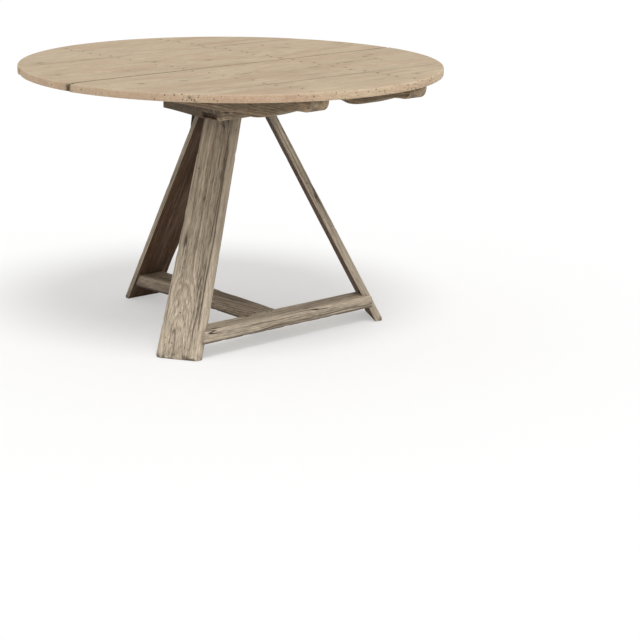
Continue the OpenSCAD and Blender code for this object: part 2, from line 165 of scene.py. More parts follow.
def outward(pts, quads, tris):
    """The faces, turned round if the skin is inside out."""
    t = np.concatenate([quads[:, [0, 1, 2]], quads[:, [0, 2, 3]], tris])
    volume = np.einsum("ij,ij->i", pts[t[:, 0]], np.cross(pts[t[:, 1]], pts[t[:, 2]])).sum()
    return (quads, tris) if volume > 0 else (quads[:, ::-1], tris[:, ::-1])


def loft(rings, shrink):
    """Points and faces of a closed skin over rings (n, m, 3), with ends as shrink says."""
    first, last = rings[0], rings[-1]
    start, stop = first.mean(0), last.mean(0)
    a = [start + (first - start) * f for f in shrink[::-1]]
    b = [stop + (last - stop) * f for f in shrink]
    full = np.concatenate([a, rings, b])
    count, m = full.shape[:2]
    pts = np.concatenate([full.reshape(-1, 3), [start, stop]])
    j = np.arange(m)
    jn = (j + 1) % m
    base, low, high = (count - 1) * m, count * m, count * m + 1
    tris = np.concatenate([np.stack([jn, j, 0 * j + low], 1),
                           np.stack([base + j, base + jn, 0 * j + high], 1)])
    return (pts, *outward(pts, band(count, m), tris))


def join(parts):
    """Several skins as one."""
    pts, quads, tris, base = [], [], [], 0
    for p, q, t in parts:
        pts.append(p)
        quads.append(q + base)
        tris.append(t + base)
        base += len(p)
    return [np.concatenate(x) for x in (pts, quads, tris)]


def normals(pts, quads, tris):
    """The direction that the skin faces at each point."""
    out = np.zeros_like(pts)
    for faces, (a, b, c, d) in ((quads, (0, 2, 1, 3)), (tris, (0, 1, 0, 2))):
        cross = np.cross(pts[faces[:, b]] - pts[faces[:, a]], pts[faces[:, d]] - pts[faces[:, c]])
        for k in range(faces.shape[1]):
            np.add.at(out, faces[:, k], cross)
    return out / (np.linalg.norm(out, axis=1, keepdims=True) + 1e-9)


def piece(node, body, material, pts, quads, tris, grain, mark, tone=PLAIN):
    """A finished piece that stands for a CAD node. pts and grain are in millimetres. mark is crack,
    wear and stain, where the crack mark also holds dirt and painted shade; tone is how far the
    second colour shows, brightness, in places painted shade, and worm holes."""
    quads, tris = outward(pts, quads, tris)
    mesh = bpy.data.meshes.new(node + "_mesh")
    mesh.from_pydata((pts * 0.001).tolist(), [], quads.tolist() + tris.tolist())
    tone = np.zeros_like(pts) + tone
    for key, data in (("grain", grain * 0.001), ("mark", mark), ("tone", tone)):
        layer = mesh.attributes.new(key, "FLOAT_VECTOR", "POINT")
        layer.data.foreach_set("vector", np.ascontiguousarray(data, np.float32).ravel())
    mesh.polygons.foreach_set("use_smooth", np.ones(len(mesh.polygons), bool))
    mesh.set_sharp_from_angle(angle=math.radians(SHARP))
    mesh.materials.append(material)
    obj = bpy.data.objects.new(node + "_piece", mesh)
    bpy.context.scene.collection.objects.link(obj)
    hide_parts(node)
    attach(obj, body)


def weathered(local, normal, seed, strength, crack):
    """How deep the surface has worn at each point, and where it has cracked."""
    fibre = 0.5 - 0.5 * noise(local, (55, 2.4, 2.4), seed)
    hewn = 0.5 - 0.5 * noise(local, (90, 34, 34), seed + 1, 2)
    line = noise(local, (190, 10, 10), seed + 2)
    where = step(0.05, 0.45, noise(local, (150, 26, 26), seed + 3))
    flat = 1 - np.abs(normal[:, 0])
    split = (1 - step(0.0, 0.09, np.abs(line))) * where * crack * step(0.3, 0.9, flat)
    return strength * (0.22 * fibre + 0.55 * hewn) + 1.3 * split, split


def timber(node, body, material, rings, near, place, seed, pith, strength=1.0, crack=1.0,
           extra=None, tone=None, shrink=CAP):
    """A weathered timber over rings given as along, across and thickness, which place turns into
    x, y and z. pith is where the tree's heart runs: across, thickness, its drift in each along
    the timber, and how far along that goes on, where it ends."""
    local, quads, tris = loft(rings, shrink)
    normal = normals(local, quads, tris)
    deep, split = weathered(local, normal, seed, strength, crack)
    # the wear of an edge stops at the arris of the end
    cap = np.array([0.0] * (len(shrink) - 1) + [0.5])
    fade = np.concatenate([cap, np.ones(len(rings)), cap[::-1]])
    edge = np.concatenate([(fade[:, None] * near).ravel(), [0, 0]])
    chip = edge * step(0.25, 0.8, noise(local, (26, 9, 9), seed + 5)) * 1.4 * strength
    if extra is not None:
        more, dark = extra(local, normal)
        deep, split = deep + more, np.maximum(split, dark)
    moved = local - normal * (deep + chip)[:, None]
    v0, w0, tilt_v, tilt_w, *limit = pith
    reach = np.minimum(local[:, 0], limit[0]) if limit else local[:, 0]
    grain = xyz(local[:, 0] + 137.0 * seed, local[:, 1] - v0 - tilt_v * reach,
                local[:, 2] - w0 - tilt_w * reach)
    look = PLAIN if tone is None else tone(local, normal)
    piece(node, body, material, place(*moved.T), quads, tris, grain,
          xyz(split, edge, 0.0), look)


def turned(centre, axis, profile, sides, seed, wobble):
    """Rings of a round piece about axis; profile is (along, radius) from one end to the other."""
    centre, axis = np.asarray(centre, float), np.asarray(axis, float)
    side = np.cross(axis, [0.31, 0.9, 0.2])
    side /= np.linalg.norm(side)
    other = np.cross(axis, side)
    angle = np.arange(sides) / sides * 2 * np.pi
    rings = []
    for along, radius in profile:
        p = centre + axis * along + \
            radius * (np.cos(angle)[:, None] * side + np.sin(angle)[:, None] * other)
        out = (p - centre - axis * along) / radius
        worn = wobble * radius / 8 * (0.5 + 0.5 * noise(p, 3.2, seed))
        rings.append(p - out * worn[:, None])
    return np.array(rings)


# ---- materials
def srgb(r, g, b):
    """A node's colour from sRGB values up to 255."""
    def line(c):
        c /= 255
        return c / 12.92 if c <= 0.04045 else ((c + 0.055) / 1.055) ** 2.4
    return (line(r), line(g), line(b), 1.0)


WHITE = (1.0, 1.0, 1.0, 1.0)


class Graph:
    """The nodes of a material or of the world, written as calls."""

    def __init__(self, owner):
        owner.use_nodes = True
        self.owner = owner
        self.nodes, self.links = owner.node_tree.nodes, owner.node_tree.links
        self.nodes.clear()

    def put(self, kind, inputs, out=0, **settings):
        """A new node, its inputs linked or set. Gives one output, or the node for None."""
        node = self.nodes.new("ShaderNode" + kind)
        for key, value in settings.items():
            setattr(node, key, value)
        for key, value in inputs.items():
            if isinstance(value, bpy.types.NodeSocket):
                self.links.new(value, node.inputs[key])
            else:
                node.inputs[key].default_value = value
        return node.outputs[out] if out is not None else node

    def attribute(self, name):
        return self.put("Attribute", {}, 1, attribute_name=name)

    def parts(self, vector):
        return self.put("SeparateXYZ", {0: vector}, None).outputs

    def math(self, operation, a, b=0.0):
        return self.put("Math", {0: a, 1: b}, operation=operation)

    def times(self, a, b):
        return self.math("MULTIPLY", a, b)

    def vector(self, operation, a, b):
        return self.put("VectorMath", {0: a, 1: b}, operation=operation)

    def noise(self, at, scale, detail=2.0, rough=0.5, out=0):
        return self.put("TexNoise", {"Vector": self.vector("MULTIPLY", at, scale), "Scale": 1.0,
                                     "Detail": detail, "Roughness": rough}, out)

    def span(self, value, a, b, low=0.0, high=1.0):
        return self.put("MapRange", {"Value": value, "From Min": a, "From Max": b, "To Min": low,
                                     "To Max": high}, interpolation_type="SMOOTHSTEP")

    def ramp(self, value, stops):
        node = self.put("ValToRGB", {"Fac": value}, None)
        while len(node.color_ramp.elements) < len(stops):
            node.color_ramp.elements.new(0.5)
        for element, (place, colour) in zip(node.color_ramp.elements, stops):
            element.position, element.color = place, colour
        return node.outputs[0]

    def mix(self, factor, a, b, mode="MIX"):
        return self.put("Mix", {0: factor, 6: a, 7: b}, 2, data_type="RGBA", blend_type=mode)

    def finish(self, height, bump, strength, inputs):
        """The surface, with relief from height: bump is its depth in metres."""
        relief = self.put("Bump", {"Height": height, "Distance": bump, "Strength": strength})
        shader = self.put("BsdfPrincipled", {"Normal": relief, **inputs})
        self.put("OutputMaterial", {"Surface": shader}, None)
        return self.owner


def wood(name, colours, second, ring, ring_mix=0.5, wander=0.0015, along=1.0, spread=(1.6, 24),
         cloudy=0.25, streaks=0.34, flecks=0.6, pore=0.7, patch=0.6, wear=0.5, rough=(0.7, 0.9),
         bump=0.0011, strength=0.8):
    """Solid wood: rings about the pith, streaks and pores along the grain, patches, wear, dirt.
    second is what mid turns into where that colour shows. ring is a ring's width and wander how
    far it sways, in metres. The scales of noise are features per metre."""
    light, mid, dark, groove, grey, stain = (srgb(*c) for c in colours)
    deeper = tuple(min(1.0, b / a) for a, b in zip(mid, srgb(*second)))
    g = Graph(bpy.data.materials.new(name))
    at = g.attribute("grain")
    crack, worn, stained = g.parts(g.attribute("mark"))
    hue, bright, wormy = g.parts(g.attribute("tone"))
    sway = g.vector("SUBTRACT", g.noise(at, (2.2 * along, 9, 9), 2, 0.45, 1), (0.5, 0.5, 0.5))
    sway = g.vector("MULTIPLY", sway, (0.0, wander * 4, wander * 4))
    across = g.vector("MULTIPLY", g.vector("ADD", at, sway), (0.0, 1.0, 1.0))
    radius = g.times(g.put("VectorMath", {0: across}, 1, operation="LENGTH"), 1 / ring)
    radius = g.math("ADD", radius, g.times(g.noise(at, (5.0 * along, 60, 60), 2), 0.9))
    turn = g.math("FRACT", radius)
    early = g.ramp(turn, [(0.0, light), (0.45, mid), (0.72, dark), (0.86, groove), (1.0, light)])
    area = g.noise(at, (2.5 * along, 11, 11), 3, 0.55)
    streak = g.noise(at, (3.0 * along, 150, 150), 3, 0.6)
    fleck = g.noise(at, (38 * along, 340, 340), 3, 0.65)
    slit = g.noise(at, (11 * along, 400, 400), 2, 0.5)
    strong = g.times(g.span(area, 0.3, 0.7, 0.35, 1.0), ring_mix)
    colour = g.mix(strong, mid, early)
    soft = g.noise(at, (spread[0], spread[1], spread[1]), 4, 0.6)
    colour = g.mix(g.times(g.span(soft, 0.42, 0.62), patch), colour, grey)
    for value, amount in ((streak, streaks), (fleck, flecks)):
        shades = [(0.3, (0.13, 0.12, 0.11, 1)), (0.5, (0.5, 0.5, 0.5, 1)),
                  (0.7, (0.87, 0.88, 0.89, 1))]
        colour = g.mix(amount, colour, g.ramp(value, shades), "OVERLAY")
    pores = g.span(slit, 0.63, 0.7)
    cloud = g.span(g.noise(at, (9 * along, 90, 90), 3, 0.6), 0.57, 0.7)
    for share, most, shade in ((pores, pore, groove), (cloud, cloudy, dark), (worn, wear, light)):
        colour = g.mix(g.times(share, most), colour, shade)
    colour = g.mix(hue, colour, deeper, "MULTIPLY")
    colour = g.mix(g.times(stained, 0.9), colour, stain)
    holes = g.put("TexVoronoi", {"Vector": at, "Scale": 150.0}, None)
    here = g.math("LESS_THAN", g.parts(holes.outputs["Color"])[0], wormy)
    worm = g.times(g.span(holes.outputs["Distance"], 0.36, 0.22), here)
    # dark where the crack mark or a worm hole is: cracks and dirt, and painted shade along the
    # stretchers' lower edges
    dirt = g.times(g.math("MAXIMUM", crack, worm), 0.85)
    colour = g.mix(dirt, colour, srgb(52, 40, 31))
    # the tone's brightness, which on the legs, the wedge, the block's left end and the rim's left
    # side holds painted shade
    colour = g.put("VectorMath", {0: colour, "Scale": bright}, operation="SCALE")
    height = g.math("SUBTRACT", g.times(streak, 0.6), g.times(turn, 0.25))
    height = g.math("ADD", height, g.times(fleck, 0.6))
    height = g.math("SUBTRACT", height, g.times(pores, 0.5))
    height = g.math("SUBTRACT", height, worm)
    return g.finish(height, bump, strength, {"Base Color": colour, "Specular IOR Level": 0.3,
                                             "Roughness": g.span(area, 0.3, 0.7, *rough)})


def iron():
    g = Graph(bpy.data.materials.new("old_iron"))
    at = g.attribute("grain")
    coarse, fine = g.noise(at, (240, 240, 240), 4, 0.6), g.noise(at, (1400, 1400, 1400), 3, 0.6)
    colour = g.ramp(coarse, [(0.3, srgb(52, 43, 36)), (0.55, srgb(80, 64, 52)),
                             (0.75, srgb(108, 84, 64))])
    height = g.math("ADD", coarse, g.times(fine, 0.5))
    return g.finish(height, 0.0006, 0.6, {"Base Color": colour, "Metallic": 0.35,
                                          "Roughness": g.span(fine, 0.3, 0.7, 0.55, 0.8)})


# the colours are light, mid, dark, groove, grey and stain
PINE = wood(
    "pine_top", [(209, 194, 165), (193, 175, 147), (176, 152, 122), (148, 120, 92),
                 (185, 160, 134), (78, 60, 46)], (194, 169, 141), ring=0.0062, ring_mix=0.27,
    wander=0.006, spread=(5.0, 16), cloudy=0.28, along=0.55, streaks=0.15, flecks=0.2, pore=0.5,
    patch=0.7, wear=0.35, rough=(0.6, 0.78), bump=0.0005, strength=0.5)
OAK = wood(
    "leg_oak", [(196, 183, 163), (160, 147, 129), (120, 106, 90), (80, 68, 55), (146, 135, 118),
                (58, 44, 34)], (92, 64, 41), ring=0.0052, ring_mix=0.6, flecks=0.5)
BLOCK = wood(
    "block_oak", [(156, 140, 119), (120, 104, 85), (90, 75, 59), (56, 44, 34), (112, 100, 84),
                  (46, 36, 28)], (84, 68, 52), ring=0.0042)
BATTEN = wood(
    "batten_oak", [(150, 133, 111), (118, 102, 82), (90, 75, 58), (58, 46, 36), (112, 100, 83),
                   (46, 36, 28)], (84, 68, 52), ring=0.004)
DARK = wood(
    "peg_oak", [(112, 94, 74), (88, 72, 56), (64, 50, 38), (42, 32, 25), (84, 72, 60),
                (36, 28, 22)], (75, 61, 47), ring=0.003)
IRON = iron()


# ---- the top
def nail_points(side):
    """Where the nails of a batten go, as in part.scad."""
    out = []
    for k, count in enumerate(NAIL_COUNTS[side]):
        first = max(BOARD_LO[k], -BATTEN_HALF) + 24
        last = min(BOARD_HI[k], BATTEN_HALF) - 24
        for i in range(count):
            s = i / (count - 1)
            x = side * BATTEN_X + 9 * math.sin(math.radians(137 * i + 50 * k + 90 * side))
            y = first + (last - first) * s + \
                7 * math.sin(math.pi * s) * math.sin(math.radians(97 * i + 50 * k))
            out.append((x, y))
    return out


NAILS = nail_points(-1) + nail_points(1)
NAIL_HEAD = [(0.0, 0.2), (0.06, 1.7), (0.22, 2.7), (0.6, 3.2), (1.2, 3.3), (1.5, 3.1)]
NAIL_SHANK = [(1.5, 1.75), (12, 1.7), (30, 1.5), (40, 1.2), (43.5, 0.5)]
# x, y and size
KNOTS = [(-523, 109, 7), (-158, 149, 8), (408, 211, 7), (-10, 89, 6), (-449, -156, 8),
         (264, -475, 7), (393, -138, 6), (388, -187, 7), (378, -221, 5), (-420, 334, 9),
         (184, -5, 5), (442, -112, 6)]
# slits and worm tracks: points, width, darkness, and the noise below which they break off
MARKS = [([(329, 239), (321, 227)], 2.8, 0.9, -2), ([(333, 190), (358, 149)], 2.8, 0.8, -2),
         ([(-545, -193), (-458, -189), (-354, -182), (-283, -188), (-89, -183), (49, -202),
           (220, -200), (426, -177)], 3.2, 0.75, 0.0),
         ([(-436, 70), (-300, 62), (-150, 74), (-40, 66)], 3.0, 0.45, 0.05),
         ([(60, 30), (240, 22), (420, 34)], 3.0, 0.55, 0.1),
         ([(-260, 452), (-40, 462), (160, 455)], 3.0, 0.5, 0.1),
         ([(-120, -300), (90, -306), (330, -298)], 3.0, 0.5, 0.1)]
# on the rim: knots by direction, height and half height, worm holes by share, direction, spread
RIM_KNOTS = [(-141.3, 746.0, 4.0), (-139.9, 735.0, 3.0)]
RIM_WORMS = [(0.3, -84, 24), (0.45, -143, 4), (0.5, -66, 12)]
# each board's pith: y, height over the underside, drop along x
BOARD_PITH = [(-420, -160, 0.02), (-250, -190, -0.03), (92, -120, 0.045), (520, -170, 0.03)]


def at_middle(joint):
    """Whether this edge of a board is at the middle joint."""
    return abs(joint - MIDDLE_JOINT) < 4


def board(k):
    """A board, from rings that each run round it at one y: upper face, right rim, underside and
    left rim."""
    rim = TOP_R - 0.15 - (SHRINK if k == 2 else 0)
    lo, hi = max(BOARD_LO[k], -rim), min(BOARD_HI[k], rim)
    joints = [(edge, inward) for edge, inward, inner in ((lo, 1, k > 0), (hi, -1, k < 3)) if inner]
    chords = np.array([2, 8, 16, 26, 38, 52, 69, 85, 100, 118, 136, 155])
    tip = rim - np.sqrt(rim * rim - chords ** 2)
    edge = np.array([0, 0.35, 0.9, 1.7, 2.8, 4.5, 7])
    head = edge if k > 0 else tip
    tail = edge if k < 3 else tip
    inner = np.linspace(lo + head[-1] + 3, hi - tail[-1] - 3, int((hi - lo) / 4.2))
    y = np.concatenate([lo + head, inner, hi - tail[::-1]])[:, None]
    s = np.linspace(-1, 1, 231)
    arc = np.radians([72, 54, 36, 18, 0])
    inset = np.concatenate([RIM_R - RIM_R * np.cos(arc), [0, 0, 0]])
    level = np.concatenate([TOP_Z - RIM_R + RIM_R * np.sin(arc), [746, 740, 735]])

    def chord(depth, side):
        """Half length of the board at each y, this far in from the rim."""
        e = np.minimum(depth, rim - np.abs(y))
        at = xyz(side * np.sqrt(np.maximum((rim - e) ** 2 - y ** 2, 0)), y, 0)
        wave = 0.6 + 0.6 * noise(at, 75, 40 + k) + 0.3 * noise(at, 14, 50 + k)
        wave = np.maximum(wave, 0) * step(0, 50, rim - np.abs(y))
        x = np.sqrt(np.maximum((rim - e - wave) ** 2 - y ** 2, 0))
        for joint, _ in joints:
            r = NOTCH_R + 2 if side < 0 and at_middle(joint) else 1.0
            d = np.clip(np.abs(y - joint), 0, r)
            x = x - (r - np.sqrt(r * r - (r - d) ** 2))
        return np.maximum(x, 0), e

    def across(depth, s):
        """x from one rim to the other."""
        left, e = chord(depth, -1)
        right, _ = chord(depth, 1)
        return (right - left) / 2 + s * (right + left) / 2, e

    def rim_top(e):
        """Height of the upper face this far in from the rim."""
        return TOP_Z - RIM_R + np.sqrt(RIM_R ** 2 - (RIM_R - np.clip(e, 0, RIM_R)) ** 2)

    x, e = across(RIM_R, s)
    face = xyz(x, y, rim_top(e))
    sides = {1: [], -1: []}
    for side, part in sides.items():
        for d, h in zip(inset, level):
            x, e = chord(d, side)
            part.append(xyz(side * x, y, np.minimum(h, rim_top(e))))
    x, e = across(1.0, s[::-1])
    low = xyz(x, y, UNDER_Z + 1 - np.clip(e, 0, 1))
    rings = np.concatenate([face] + sides[1] + [low] + sides[-1][::-1], 1)
    n, m, nt, ns = len(y), rings.shape[1], len(s), len(inset)

    # joints with worn edges that nearly close below, cupping, dips and stains at the nails
    rx, ry, rz = np.moveaxis(rings, -1, 0)
    radius = np.hypot(rx, ry)
    from_rim = rim - radius
    p = rings.copy()
    upper = rz > UNDER_Z + 8
    for joint, inward in joints:
        d = np.abs(ry - joint)
        along = xyz(rx, joint, 0)
        r = 1.3 + 0.9 * noise(along, 60, 60 + k) + 0.5 * noise(along, 11, 61 + k)
        r = np.maximum(r, 0.5)
        drop = r - np.sqrt(r * r - (r - np.minimum(d, r)) ** 2)
        p[..., 2] -= np.where(upper, drop, 0)
        if at_middle(joint):
            wide, close = 0.45 * (1 + noise(along, 130, 62)), 1.35
        else:
            wide, close = 0.12 - 0.62 * step(40, 12, from_rim), 0.5
        close = close * step(746, 743, rz)
        p[..., 1] += inward * (wide * np.clip(1 - d / 12, 0, 1) - close * np.clip(1 - d / 6, 0, 1))
    flat = (np.arange(m) < nt)[None, :] * np.ones((n, 1))
    t = (ry - (lo + hi) / 2) / ((hi - lo) / 2)
    worn = 0.06 + 0.12 * (0.5 - 0.5 * noise(rings, (160, 7, 7), 70 + k)) + \
        0.25 * (0.5 - 0.5 * noise(rings, (210, 60, 60), 75 + k)) + 0.35 * t * t
    stain = np.zeros((n, m))
    for x0, y0 in NAILS:
        d2 = (rx - x0) ** 2 + (ry - y0) ** 2
        worn += 0.25 * np.exp(-d2 / 40)
        stain += (0.34 if x0 > 0 else 0.2) * np.exp(-d2 / 26) + 0.08 * np.exp(-d2 / 160)
    p[..., 2] -= flat * worn

    # dirt in the joints and the notch, knots, slits and worm tracks
    dirt = np.zeros((n, m))
    for joint, _ in joints:
        d = np.abs(ry - joint)
        if at_middle(joint):
            broken = np.exp(-(d / 8) ** 2 - (from_rim / 13) ** 2) * (rx < 0)
            p[..., 2] -= 9.0 * broken * (rz > 744)
            dirt += (0.75 + 0.25 * step(-180, -300, rx)) * np.exp(-d / 1.6) + 1.8 * broken
        else:
            shown = step(60, 160, rx) if joint > 0 else step(-280, -180, rx)
            dirt += (0.5 + 0.4 * shown) * np.exp(-d / 1.5) * step(10, 50, from_rim) * \
                (0.4 + 0.6 * step(-0.3, 0.4, noise(rings, (150, 900, 900), 64 + k)))
    for x0, y0, size in KNOTS:
        d2 = ((rx - x0) / 1.5) ** 2 + (ry - y0) ** 2
        stain += 0.75 * np.exp(-d2 / (0.45 * size * size)) + 0.12 * np.exp(-d2 / (4 * size * size))
    waver, gaps = 2 * noise(rings, 25, 97), noise(rings, (16, 60, 60), 98)
    for points, width, amount, broken in MARKS:
        on = step(broken, broken + 0.4, gaps)
        for (x0, y0), (x1, y1) in zip(points[:-1], points[1:]):
            dx, dy = x1 - x0, y1 - y0
            t = np.clip(((rx - x0) * dx + (ry - y0) * dy) / (dx ** 2 + dy ** 2), 0, 1)
            d = np.hypot(rx - x0 - t * dx, ry - y0 - t * dy + waver)
            dirt += amount * np.exp(-(d / width) ** 2) * flat * on
    near = np.zeros(m)
    near[nt:nt + 5] = (0.9, 1, 1, 0.7, 0.2)
    near[m - 5:] = (0.2, 0.7, 1, 1, 0.9)
    mark = xyz(np.clip(dirt, 0, 1), near * (0.6 + 0.4 * noise(rings, 60, 90 + k)),
               np.clip(stain, 0, 1) * flat)

    # the rim is browner and wormier than the face, paler towards the front right, and a little
    # darker towards the left by painted shade
    wall = (1 - flat) * (rz > UNDER_Z + 1.5)
    angle = np.degrees(np.arctan2(ry, rx))
    for turn, high, tall in RIM_KNOTS:
        spot = np.exp(-((angle - turn) * math.pi / 180 * rim / 5) ** 2 - ((rz - high) / tall) ** 2)
        mark[..., 0] = np.maximum(mark[..., 0], 0.95 * wall * spot)
    worms = 0.03
    for share, turn, spread in RIM_WORMS:
        worms = worms + share * np.exp(-((angle - turn) / spread) ** 2)
    pale = step(-120, -60, angle) * step(20, -40, angle)
    pink = 0.16 * np.exp(-(radius / 330) ** 2) + \
        0.25 * step(0.1, 0.6, noise(rings, (300, 60, 60), 66 + k, 2))
    hue = np.where(wall > 0, wall * (1 - 0.6 * near) * (1 - 0.7 * pale), flat * pink)
    cream = flat * step(555, 590, radius) * step(-128, -105, angle) * step(-40, -70, angle)
    # the rim's 0.08 loss of brightness towards the left is painted shade
    light = 1.0 + wall * (0.04 + 0.1 * pale - 0.08 * step(-125, -155, angle)) + 0.10 * cream + \
        flat * (0.07 * noise(rings, (260, 45, 45), 67 + k, 2) - 0.04)
    tone = xyz(hue, light, np.where(wall > 0, worms, 0.006))

    # each end is closed by quads from face to underside and a fan at each rim
    quads, tris = [band(n, m)], []
    for start, flip in ((0, True), ((n - 1) * m, False)):
        a = np.arange(nt - 1)
        b = nt + ns + (nt - 1 - a)
        quads.append(np.stack([a, b, b - 1, a + 1] if flip else [a + 1, b - 1, b, a], 1) + start)
        for fan in (list(range(nt - 1, nt + ns + 1)), list(range(m - ns - 1, m)) + [0]):
            for c, d in zip(fan[1:-1], fan[2:]):
                tris.append([start + i for i in ((fan[0], d, c) if flip else (fan[0], c, d))])
    y0, z0, drop = BOARD_PITH[k]
    q = rings.reshape(-1, 3)
    grain = xyz(q[:, 0] + 1400 * k, q[:, 1] - y0, q[:, 2] - UNDER_Z - z0 + drop * q[:, 0])
    piece(f"board_{4 - k}", "top", PINE, p.reshape(-1, 3), np.concatenate(quads),
          np.array(tris), grain, mark.reshape(-1, 3), tone.reshape(-1, 3))


def nails(node, side):
    parts = []
    for i, (x, y) in enumerate(nail_points(side)):
        for profile, sides, seed, wobble in ((NAIL_HEAD, 14, 300, 1.6), (NAIL_SHANK, 8, 500, 0.6)):
            rings = turned((x, y, TOP_Z), (0, 0, -1), profile, sides, seed + i, wobble)
            parts.append(loft(rings, (0.6,)))
    pts, quads, tris = join(parts)
    piece(node, "top", IRON, pts, quads, tris, pts, np.zeros_like(pts))


for k in range(4):
    board(k)
nails("left_batten_nails", -1)
nails("right_batten_nails", 1)


# ---- battens
def batten_depth(y):
    """Depth at y: straight, then a hollow, a lobe, a scallop and a thin end with a round tip."""
    a = np.abs(y)
    d = np.where(a < STRAIGHT_Y, BATTEN_DEEP, BATTEN_THIN)
    for y0, y1, d0, d1 in ((STRAIGHT_Y, HOLLOW_Y, BATTEN_DEEP, BATTEN_HOLLOW),
                           (HOLLOW_Y, LOBE_Y, BATTEN_HOLLOW, BATTEN_DEEP),
                           (LOBE_Y, SCALLOP_Y, BATTEN_DEEP, BATTEN_THIN)):
        d = np.where((a >= y0) & (a < y1), ease(d0, d1, (a - y0) / (y1 - y0)), d)
    e = np.clip(a - (BATTEN_HALF - BATTEN_ROUND), 0, BATTEN_ROUND)
    return d - BATTEN_ROUND + np.sqrt(BATTEN_ROUND ** 2 - e ** 2)


def batten(node, side, seed):
    straight = BATTEN_HALF - BATTEN_ROUND
    end = straight + BATTEN_ROUND * np.sin(np.radians(np.linspace(8, 90, 11)))
    y = np.concatenate([-end[::-1], np.linspace(-straight, straight, 250), end])
    d = batten_depth(y)
    a, b, o = -BATTEN_HALF_W + 0 * y, BATTEN_HALF_W + 0 * y, 0 * y
    corners = xyz(np.stack([a, b, b, a], 1), np.stack([o, o, -d, -d], 1))
    outline, near = section(corners, (0.8, 0.8, 3.5, 3.5), (22, 24, 22, 24))
    near[:34] *= 0.3  # the upper edges, which the boards cover
    rings = xyz(y[:, None], outline[..., 0], outline[..., 1])

    def place(along, across, up):
        return xyz(side * BATTEN_X - across, along, UNDER_Z + np.minimum(up, 0))

    def tone(q, n):
        end = step(490, 540, np.abs(q[:, 0])) * step(-0.3, 0.4, noise(q, (40, 14, 14), 25))
        return xyz(0.0, 1.04 + 0.75 * end + 0.12 * noise(q, (110, 20, 20), 26, 2), 0.01)

    timber(node, "top", BATTEN, rings, near, place, seed, (8, -70, 0.0, 0.0),
           strength=0.9, tone=tone)


batten("left_batten", -1, 11)
batten("right_batten", 1, 12)


# ---- block
def block():
    middle = np.linspace(-142, 142, 86)
    x = np.concatenate([[-149, -148.6, -148, -147, -145], middle, [145, 147, 148, 148.6, 149]])
    front = PIVOT_Z + math.sqrt(PIVOT_R ** 2 - (BLOCK_Y0 - PIVOT_Y) ** 2)
    corners = same_corners(len(x), [(BLOCK_Y0, BLOCK_Z), (BLOCK_Y1, BLOCK_Z), (BLOCK_Y1, UNDER_Z),
                                    (PIVOT_Y, 732.0), (-115.0, 730.9), (BLOCK_Y0, front)])
    outline, near = section(corners, (4.5, 4, 3, 0.5, 0.5, 2.5), (80, 34, 70, 4, 4, 32))
    tuck = np.array([2.2, 1.1, 0.5, 0.15, 0.0])  # rounds the ends' arrises
    tuck = np.concatenate([tuck, np.zeros(len(middle)), tuck[::-1]])[:, None, None]
    away = outline - outline.mean(1, keepdims=True)
    outline = outline - away / np.linalg.norm(away, axis=2, keepdims=True) * tuck
    rings = xyz(x[:, None], outline[..., 0], outline[..., 1])

    def slot(q, n):
        """The old mortise in the left end."""
        x, y, z = q.T
        y0, y1, z0, z1 = MORTISE
        on = step(y0, y0 + 3.5, y) * step(y1, y1 - 4, y) * step(z0, z0 + 3, z) * \
            step(z1, z1 - 3.5, z) * (x < 1.5 - BLOCK_X)
        return 9 * on, 0.75 * on

    def tone(q, n):
        """Browner at the left end and darker there by painted shade, with pale specks low at its
        front and on the corner.
        """
        end = step(0.6, 0.9, -n[:, 0])
        speck = step(0.15, 0.5, noise(q, (5, 4, 3), 23)) * step(-40, -95, q[:, 1]) * \
            step(672, 634, q[:, 2])
        front = step(0.6, 0.9, -n[:, 1])
        tip = front * step(-90, -135, q[:, 0]) * step(0.0, 0.5, noise(q, (9, 5, 4), 24))
        # the left end's loss of brightness is painted shade; its browner hue is its own colour
        return xyz(0.35 * end, 1.09 - 0.25 * end + 1.5 * end * speck + 1.1 * tip, 0.01)

    def place(x, y, z):
        """The underside is flat, and hangs lower towards the front left corner."""
        z = np.maximum(z, BLOCK_Z)
        return xyz(x, y, z - SAG * step(130, -70, y) * step(150, -90, x) * step(700, 640, z))

    timber("top_block", "base", BLOCK, rings, near, place, 21, (30, 560, 0.0, 0.0),
           strength=0.9, extra=slot, tone=tone, shrink=BLOCK_CAP)


block()


# ---- legs
def leg_frame(node):
    """Azimuth and lean in radians, and the sideways drift from foot to head."""
    azimuth, head, drift = LEGS[node]
    lean = math.atan2(FOOT_R - head, BLOCK_Z)
    return math.radians(azimuth), lean, drift


def half_width(z):
    return LEG_FOOT + (LEG_HEAD - LEG_FOOT) * z / BLOCK_Z


def beside(az, out, side, z):
    """x, y and z of what lies this far out in a leg's direction and this far to its side."""
    return xyz(out * math.cos(az) - side * math.sin(az),
               out * math.sin(az) + side * math.cos(az) + SHIFT, z)


